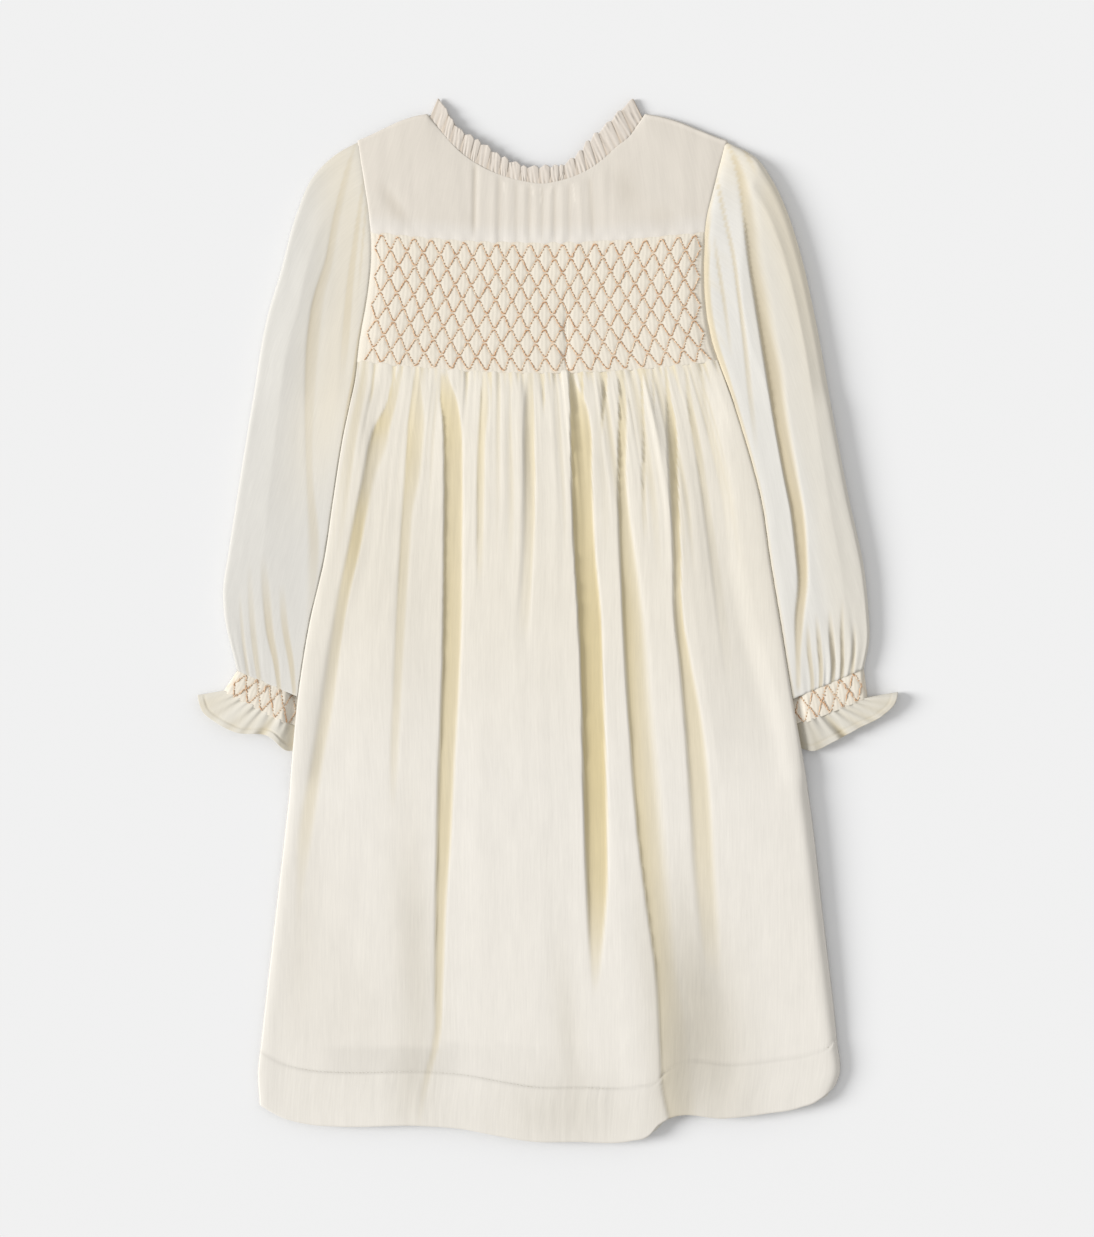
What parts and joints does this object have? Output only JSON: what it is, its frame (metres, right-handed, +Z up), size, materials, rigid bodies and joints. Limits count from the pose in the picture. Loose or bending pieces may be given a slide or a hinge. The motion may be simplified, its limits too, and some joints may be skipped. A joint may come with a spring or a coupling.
{
  "type": "smocked dress",
  "caption": "Child's long-sleeved smocked dress laid flat, front up: frilled neck, plain yoke, diamond-smocked panel, full sleeves with frilled cuffs, and a long gathered skirt with a deep hem",
  "frame": {"origin": "centre of the bounding box, on the plane that the dress lies on", "axes": "+Y from hem to neck, +X to the wearer's left, +Z up through the front of the dress"},
  "size_m": [0.4911, 0.7323, 0.014],
  "materials": {
    "bodice_cloth": "fine ivory cotton with a soft sheen",
    "smocked_cloth": "fine ivory cotton in tight pleats, with peach embroidery",
    "skirt_cloth": "fine ivory cotton with a soft sheen",
    "sleeve_cloth": "fine ivory cotton with a soft sheen",
    "frill_cloth": "fine ivory cotton, gathered",
    "button": "pearly, smooth"
  },
  "bodies": {
    "root": {"front_yoke": "bodice_cloth", "smocked_panel": "smocked_cloth", "skirt_front": "skirt_cloth", "skirt_back": "skirt_cloth", "back_bodice": "bodice_cloth", "sleeve_left": "sleeve_cloth", "sleeve_right": "sleeve_cloth", "cuff_left": "smocked_cloth", "cuff_right": "smocked_cloth", "cuff_frill_left": "frill_cloth", "cuff_frill_right": "frill_cloth", "neck_frill": "frill_cloth", "back_button": "button"}
  },
  "joints": []
}
